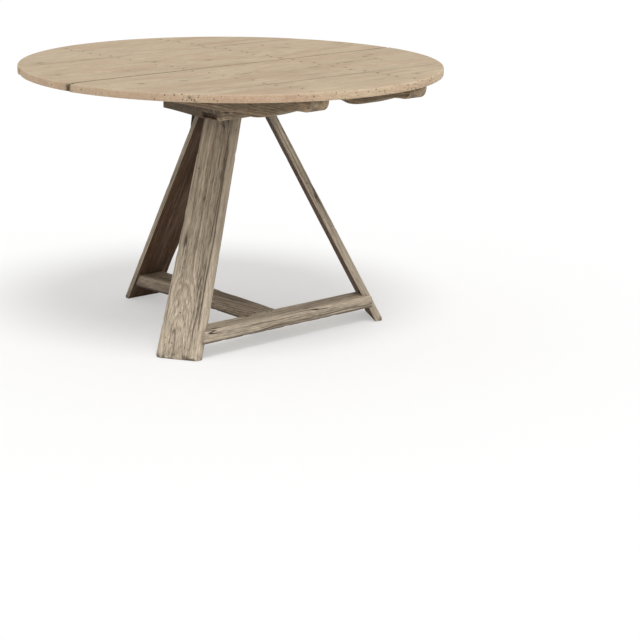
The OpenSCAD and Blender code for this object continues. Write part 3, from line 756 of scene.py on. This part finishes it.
def leg(node, seed, pith, tone, extra, crook=None):
    """A bevelled plank. Its rings are level, as the floor and the block's underside are."""
    az, lean, drift = leg_frame(node)
    z = np.concatenate([[0, 0.6, 1.6, 3, 5], np.linspace(8, 620, 158), [623.5, 625.5, 626.6, 627]])
    length = BLOCK_Z / math.cos(lean)
    half = half_width(z)
    v = np.stack([-half + BEVEL, half - BEVEL, half, half, -half, -half], 1)
    w = np.array([0, 0, -BEVEL_DEEP, -LEG_T, -LEG_T, -BEVEL_DEEP])
    outline, near = section(xyz(v, w), (2.5, 2.5, 2.5, 2, 2, 2.5), (50, 5, 8, 50, 8, 5))
    t, w = outline[..., 0], outline[..., 1]
    zz = z[:, None]
    w = np.minimum(w, (zz * math.tan(lean) - (FOOT_R - TOE)) * math.cos(lean))
    h = (zz - w * math.sin(lean)) / math.cos(lean)
    low = np.clip(FOOT_CORNER - h, 0, FOOT_CORNER)
    round_off = FOOT_CORNER - np.sqrt(FOOT_CORNER ** 2 - low ** 2)
    t = t * (1 - round_off / half[:, None]) + drift * h / length
    if crook is not None:
        t = t + crook(h, t)

    def place(h, t, w):
        return beside(az, FOOT_R + w * math.cos(lean) - h * math.sin(lean), t,
                      np.clip(w * math.sin(lean) + h * math.cos(lean), 0, BLOCK_Z))

    timber(node, "base", OAK, xyz(h, t, w), near, place, seed, pith, extra=extra,
           tone=tone)


def leg_extra(lines=()):
    """Long splits in the outer face, as across, from, to, width and depth, a broken dark line
    along the bevels' edges, and dirt on the feet."""
    def more(local, normal):
        h, t, w = local.T
        deep, dark = np.zeros(len(h)), np.zeros(len(h))
        face = step(0.5, 0.9, normal[:, 2])
        for k, (across, start, stop, width, depth) in enumerate(lines):
            d = np.abs(t - (across + 2.5 * noise(xyz(h, 0, k), 70, 80 + k))) / width
            on = np.exp(-d * d) * face * step(start, start + 60, h) * (1 - step(stop - 60, stop, h))
            deep, dark = deep + depth * on, np.maximum(dark, on)
        foot = step(30, 3, h) * step(-0.35, 0.25, noise(local, (9, 8, 8), 84))
        corner = 0.35 * np.exp(-np.abs(w + BEVEL_DEEP) / 2.0) * \
            step(0.2, 0.8, np.abs(normal[:, 1])) * step(-0.2, 0.5, noise(local, (60, 20, 20), 85))
        return deep + 1.5 * foot * step(14, 0, h), np.maximum(dark, np.maximum(0.8 * foot, corner))
    return more


def leg_tone_and_painted_shade(low, high, inner=0.3):
    """Painted shade from the foot up, darker towards the head and most under the block, over a
    random tone; and the inner side, browner as its own colour and darker by painted shade.
    """
    def tone(q, n):
        bright = low + (high - low) * step(120, 560, q[:, 0]) + \
            0.13 * noise(q, (110, 22, 22), 95, 2)
        # painted shade under the block, at the leg's head
        bright = bright * (1 - 0.28 * step(620, 700, q[:, 0]))
        inside = inner * step(0.4, 0.9, -n[:, 2]) * (0.93 + 0.2 * noise(q, (100, 14, 14), 94, 2))
        # painted shade on the inner side
        bright = bright * (1 - 0.24 * inside)
        return xyz(inside, bright, 0.01 + 0.05 * step(60, 0, q[:, 0]))
    return tone


def back_crook(h, t):
    """The back leg is narrower near its foot, on one edge."""
    return 9 * step(-40, -60, t) * step(30, 90, h) * step(260, 120, h)


FRONT_SPLITS = [(46, 60, 640, 2.0, 1.8), (40, 300, 700, 1.4, 1.2), (-51, 60, 420, 1.4, 1.2),
                (34, 20, 250, 1.8, 1.6), (40, 90, 330, 1.4, 1.4), (-40, 420, 700, 1.2, 1.0),
                (22, 150, 300, 1.2, 0.9), (-30, 10, 120, 1.2, 0.9)]
leg("front_leg", 31, (-12, -26, 0.0, -0.13, 240), leg_tone_and_painted_shade(1.34, 1.22), leg_extra(FRONT_SPLITS))
leg("right_leg", 32, (10, -70, 0.0, 0.0), leg_tone_and_painted_shade(1.25, 1.1, 0.95), leg_extra())
leg("back_leg", 33, (-20, 50, 0.0, 0.0), leg_tone_and_painted_shade(1.1, 0.85, 1.0), leg_extra(), back_crook)


# ---- stretchers
def inner_face(node, z):
    """How far out a leg's inner face is at height z, and the leg's direction."""
    az, lean, _ = leg_frame(node)
    return FOOT_R - LEG_T / math.cos(lean) - z * math.tan(lean), math.cos(az), math.sin(az)


def painted_shade_at_lower_edges(local, normal):
    """Painted shade along the lower edges of a stretcher."""
    return 0.9 * step(9, 3, local[:, 2]) * step(0.0, 0.5, np.abs(normal[:, 1]))


def rail_tone(brown, bright, seed):
    return lambda q, n: xyz(brown, bright + 0.15 * noise(q, (120, 20, 20), seed, 2), 0.01)


def long_stretcher():
    """From the front leg to the right leg, its upper arrises cut off."""
    s = np.linspace(0, 1, 190)
    corners = same_corners(len(s), [(0, 0), (RAIL_WIDE, 0), (RAIL_WIDE, RAIL_TALL - 4),
                                    (RAIL_WIDE - 4, RAIL_TALL), (4, RAIL_TALL),
                                    (0, RAIL_TALL - 4)])
    outline, near = section(corners, (3, 3, 1.2, 1.2, 1.2, 1.2), (30, 14, 3, 30, 3, 16))
    y, z = RAIL_Y0 + outline[..., 0], RAIL_Z0 + outline[..., 1]
    ends = []
    for node in ("front_leg", "right_leg"):
        rho, c, sn = inner_face(node, z)
        half = half_width(z) + LEGS[node][2] * z / BLOCK_Z * (c < 0)
        side = 1 if c < 0 else -1
        leg_edge = rho * sn + side * half * c + SHIFT
        past = np.maximum(leg_edge - 0.6 - y, 0)
        ends.append((rho - (y + past - SHIFT) * sn) / c - side * past * RUN_ON)
    x = ends[0] + (ends[1] - ends[0]) * s[:, None]
    rings = xyz(x, y - RAIL_Y0 - RAIL_WIDE / 2, z - RAIL_Z0)

    def crack(local, normal):
        """Two long splits along the front face, and painted shade along the lower edges."""
        x, _, z = local.T
        line = z - 9 - 3 * noise(xyz(x, 0, 3), 70, 120) - 0.012 * x
        front = step(0.5, 0.9, -normal[:, 1]) * step(-220, -120, x)
        on = np.exp(-(line / 1.7) ** 2) * front
        line = z - 24 - 2 * noise(xyz(x, 0, 5), 60, 121)
        on = np.maximum(on, 0.7 * np.exp(-(line / 1.3) ** 2) * front * step(120, -40, x))
        return 1.8 * on, np.maximum(on, painted_shade_at_lower_edges(local, normal))

    timber("long_stretcher", "base", OAK, rings, near,
           lambda x, y, z: xyz(x, y + RAIL_Y0 + RAIL_WIDE / 2, z + RAIL_Z0), 41,
           (-60, 70, 0.02, 0.0), crack=1.3, extra=crack, tone=rail_tone(0.0, 1.3, 96))


def cross_stretcher():
    """From the long stretcher to the back leg, wider there, with a bowed left side."""
    u = np.linspace(0, 1, 175)[:, None]
    corners = same_corners(len(u), [(-40, 0), (40, 0), (40, RAIL_TALL), (-40, RAIL_TALL)])
    outline, near = section(corners, (2.5, 2.5, 3, 3), (34, 16, 34, 16))
    side, z = outline[..., 0] / 40, RAIL_Z0 + outline[..., 1]
    rho, c, sn = inner_face("back_leg", z)
    x = CROSS_X0 + (CROSS_X1 - CROSS_X0) * u + side * (CROSS_W0 + (CROSS_W1 - CROSS_W0) * u) / 2
    x = x + np.clip(-side, 0, 1) * CROSS_BOW * np.sin(np.pi * u)
    far = (rho - x * c) / sn + SHIFT
    y = RAIL_Y1 + (far - RAIL_Y1) * u

    def seat(local, normal):
        """Dirt in the joint with the long stretcher, and painted shade along the lower edges."""
        along, across, up = local.T
        on = 0.9 * step(7, 1, along - RAIL_Y1) * step(8, -12, across) * step(20, 34, up)
        return on, np.maximum(on, painted_shade_at_lower_edges(local, normal))

    timber("cross_stretcher", "base", OAK, xyz(y, -x, z - RAIL_Z0), near,
           lambda along, across, up: xyz(-across, along, up + RAIL_Z0), 42,
           (40, 80, 0.03, 0.0), extra=seat, tone=rail_tone(0.2, 1.08, 99))


long_stretcher()
cross_stretcher()


# ---- pins, pegs, wedge and catch
def round_piece(node, body, material, shapes, seed, sides, wobble=0.5):
    """Turned pieces in one node; each shape is centre, axis and profile."""
    pts, quads, tris = join([loft(turned(*shape, sides, seed + i, wobble), ROUND_CAP)
                             for i, shape in enumerate(shapes)])
    first = int(np.argmax(np.abs(shapes[0][1])))
    order = [first] + [a for a in range(3) if a != first]
    grain = pts[:, order] - pts[:, order].mean(0) * [0, 1, 1] + [seed * 31.0, 3.0, 2.0]
    mark = np.zeros_like(pts) + (0.0, 0.3, 0.0)
    piece(node, body, material, pts, quads, tris, grain, mark)


SEAT = PIN_SEAT - PIN_START
PIN = [(0, 12), (3, 13.6), (20, 13.9), (60, 13.95), (SEAT - 2, 13.95), (SEAT, 13.8),
       (SEAT + 0.1, 16.4), (SEAT + 1.5, 16.9), (SEAT + 3.5, 16.2), (SEAT + 5.8, 14.6),
       (SEAT + 6.9, 13.0)]
STRETCHER_PEG = [(0.0, 3.6), (0.4, 4.3), (2, 4.45), (34, 4.45), (35.6, 4.2), (36, 3.5)]
SPACER = [(0, 15.2), (0.8, 16.4), (2.4, 16.9), (12, 17), (22, 16.9), (24.6, 16.5), (25.3, 15.8)]
KEEPER_NAIL = [(0.0, 2.6), (0.3, 3.4), (1.5, 3.5), (1.6, 1.8), (30, 1.6), (44, 0.6)]
SCREW = [(0.0, 5.6), (0.5, 6.3), (2.9, 7.7), (3.0, 3.0), (18, 3.0), (43, 2.9), (56.5, 2.2)]
UP = (0, 0, 1)
for side, node in ((-1, "left_pivot_pin"), (1, "right_pivot_pin")):
    round_piece(node, "base", DARK,
                [((side * PIN_START, PIVOT_Y, PIVOT_Z), (side, 0, 0), PIN)], 150 + side, 40)


def tenon_peg(node):
    """The peg from the block's face through the leg's tenon."""
    az, lean, drift = leg_frame(node)
    out = FOOT_R - PEG_Z * math.tan(lean) - LEG_T / 2 / math.cos(lean)
    x, y, _ = beside(az, out, drift * PEG_Z / BLOCK_Z, PEG_Z)
    if node == "back_leg":
        centre, axis, deep = (x, BLOCK_Y1, PEG_Z), (0, -1, 0), BLOCK_Y1 - y + PEG_ON
    else:
        end = 1 if x > 0 else -1
        centre, axis, deep = (end * BLOCK_X, y, PEG_Z), (-end, 0, 0), BLOCK_X - abs(x) + PEG_ON
    return centre, axis, [(0.0, 5.0), (0.35, 5.75), (2, 5.95), (deep - 4, 5.9), (deep, 5.0)]


round_piece("leg_tenon_pegs", "base", DARK, [tenon_peg(node) for node in LEGS], 160,
            20)
round_piece("stretcher_pegs", "base", DARK,
            [((CROSS_X0 + s * 7.5, RAIL_Y1 - 14, RAIL_Z0), UP, STRETCHER_PEG) for s in (-1, 1)],
            170, 18)


def small_timber(node, body, material, outline_at, along, place, seed, radius, counts, pith,
                 tone=None):
    """A small timber with the corners that outline_at gives along it."""
    outline, near = section(np.stack([outline_at(a) for a in along]), radius, counts, 3)
    rings = xyz(along[:, None], outline[..., 0], outline[..., 1])
    timber(node, body, material, rings, near, place, seed, pith, strength=0.5, tone=tone)


def wedge():
    """From the block's back edge down to the leg, as wide as its flat, and nearly black by painted
    shade.
    """
    az, lean, _ = leg_frame("back_leg")
    shape = np.array([(FOOT_R - BLOCK_Z * math.tan(lean), BLOCK_Z),
                      (BLOCK_Y1 - 0.5 - SHIFT, BLOCK_Z),
                      (FOOT_R - WEDGE_TIP * math.tan(lean), WEDGE_TIP)])
    end = WEDGE_HALF - np.array([0, 0.6, 2])
    along = np.concatenate([-end, np.linspace(4 - WEDGE_HALF, WEDGE_HALF - 4, 30), end[::-1]])

    # the tone's brightness of 0.2 is painted shade that makes the wedge nearly black
    small_timber("back_leg_wedge", "base", DARK, lambda t: shape, along,
                 lambda side, out, z: beside(az, out, side, np.minimum(z, BLOCK_Z)), 51,
                 (0.8, 1.2, 0.6), (14, 26, 30), (90, 600, 0, 0), lambda q, n: (0.0, 0.2, 0.0))


def slab_stations(length, n):
    """Places along a slab, closer together at its ends."""
    return np.concatenate([[0, 0.5, 1.6, 3.2], np.linspace(5, length - 5, n),
                           [length - 3.2, length - 1.6, length - 0.5, length]])


def slab_tuck(t, length, most):
    """How far the corners draw in at t, to round the ends."""
    return most * (1 - step(0, 3, min(t, length - t)))


def keeper():
    def shape(t):
        tuck = slab_tuck(t, KEEPER_L, 1.2)
        y0, y1, z0, z1 = BLOCK_Y1, BLOCK_Y1 + KEEPER_OUT - tuck, KEEPER_Z0 + tuck, KEEPER_Z1 - tuck
        return np.array([(y0, z0), (y1, z0), (y1, z1), (y0, z1)])

    small_timber("catch_keeper", "base", BATTEN, shape, slab_stations(KEEPER_L, 40),
                 lambda x, y, z: xyz(x - KEEPER_L / 2, np.maximum(y, BLOCK_Y1), z), 52,
                 (0.6, 2, 2, 0.6), (14, 12, 14, 12), (150, 690, 0.02, 0))


def button():
    """A slab cut round at its heel and tongue by one circle."""
    radius = BUTTON_TONGUE - BUTTON_HEEL / 2 + 1
    centre = BUTTON_HEEL / 2
    heel = centre - radius + 0.4
    length = BUTTON_TONGUE - heel

    def shape(t):
        tuck = slab_tuck(t, length, 1.3)
        half = min(BUTTON_HALF_W, math.sqrt(radius ** 2 - (t + heel - centre) ** 2)) - tuck
        return np.array([(-half, tuck), (half, tuck), (half, BUTTON_T - tuck),
                         (-half, BUTTON_T - tuck)])

    small_timber("catch_button", "button", BATTEN, shape, slab_stations(length, 34),
                 lambda x, y, z: xyz(x + heel, y + BUTTON_Y, z + BUTTON_Z0), 53,
                 (2, 2, 2, 2), (14, 8, 14, 8), (4, -24, 0, 0))


wedge()
keeper()
button()
round_piece("catch_spacer", "top", BATTEN,
            [((0, BUTTON_Y, BUTTON_Z1 + 0.3), UP, SPACER)], 180, 40)
round_piece("keeper_nails", "base", IRON,
            [((x * 0.38 * KEEPER_L, BLOCK_Y1 + KEEPER_OUT, (KEEPER_Z0 + KEEPER_Z1) / 2), (0, -1, 0),
              KEEPER_NAIL) for x in (-1, 0, 1)], 190, 14, 1.2)
round_piece("catch_screw", "top", IRON,
            [((0, BUTTON_Y, BUTTON_Z0 - 3.3), UP, SCREW)], 195, 28, 0.3)

# ---- floor, light and camera
FLOOR_HALF = 60.0  # metres
FLOOR_WHITE = 0.4  # how far what is seen of the floor turns to white
WORLD_LIGHT, SUN_LIGHT, SUN_WIDTH = 0.62, 1.64, 28.0  # the width in degrees
SUN_FROM = (-0.74, -1.5, 3.4)
CAMERA_AT = (-3.9847, -4.5838, 1.5834)  # metres; the camera is fitted to the left view
CAMERA_TURN = (-43.444, 14.554, 0.701)  # azimuth, look down and roll in degrees
SENSOR, FOCAL, FRAME = 36.0, 2153.7, 640.0  # mm, and the photograph's pixels


def link(name, data):
    obj = bpy.data.objects.new(name, data)
    bpy.context.scene.collection.objects.link(obj)
    return obj


def stage():
    """A floor that looks white and keeps the shadow, a white world and a broad sun."""
    g = Graph(bpy.data.materials.new("pale_floor"))
    path = g.put("LightPath", {}, None).outputs
    seen = g.math("MAXIMUM", path["Is Camera Ray"], path["Is Glossy Ray"])
    seen = g.math("MAXIMUM", seen, path["Is Transmission Ray"])
    plain = g.put("BsdfDiffuse", {"Color": (0.93, 0.93, 0.93, 1.0)})
    white = g.put("Emission", {"Color": WHITE, "Strength": 1.0})
    mix = g.put("MixShader", {0: g.times(seen, FLOOR_WHITE), 1: plain, 2: white})
    g.put("OutputMaterial", {"Surface": mix}, None)
    mesh = bpy.data.meshes.new("floor_mesh")
    corners = [(x * FLOOR_HALF, y * FLOOR_HALF, 0) for x, y in ((-1, -1), (1, -1), (1, 1), (-1, 1))]
    mesh.from_pydata(corners, [], [(0, 1, 2, 3)])
    mesh.materials.append(g.owner)
    floor = link("floor", mesh)

    g = Graph(bpy.data.worlds.new("studio"))
    bpy.context.scene.world = g.owner
    path = g.put("LightPath", {}, None).outputs
    light = g.put("Background", {"Color": WHITE, "Strength": WORLD_LIGHT})
    shown = g.put("Background", {"Color": WHITE, "Strength": 1.0})
    mix = g.put("MixShader", {0: path["Is Camera Ray"], 1: light, 2: shown})
    g.put("OutputWorld", {"Surface": mix}, None)

    key = bpy.data.lights.new("key", "SUN")
    key.energy = SUN_LIGHT
    key.angle = math.radians(SUN_WIDTH)
    towards = Vector(SUN_FROM).normalized()
    link("key", key).rotation_euler = towards.to_track_quat("Z", "Y").to_euler()


def camera():
    az, el, roll = (math.radians(a) for a in CAMERA_TURN)
    right = Vector((math.cos(az), math.sin(az), 0))
    ahead = Vector((-math.sin(az) * math.cos(el), math.cos(az) * math.cos(el), -math.sin(el)))
    up = right.cross(ahead)
    x = right * math.cos(roll) + up * math.sin(roll)
    y = up * math.cos(roll) - right * math.sin(roll)
    data = bpy.data.cameras.new("camera")
    data.sensor_width = SENSOR
    data.lens = SENSOR * FOCAL / FRAME
    data.clip_end = 200.0
    turn = Matrix((x, y, -ahead)).transposed().to_4x4()
    cam = link("camera", data)
    cam.matrix_world = Matrix.Translation(CAMERA_AT) @ turn
    bpy.context.scene.camera = cam


stage()
camera()
bpy.context.scene.view_settings.view_transform = "Standard"
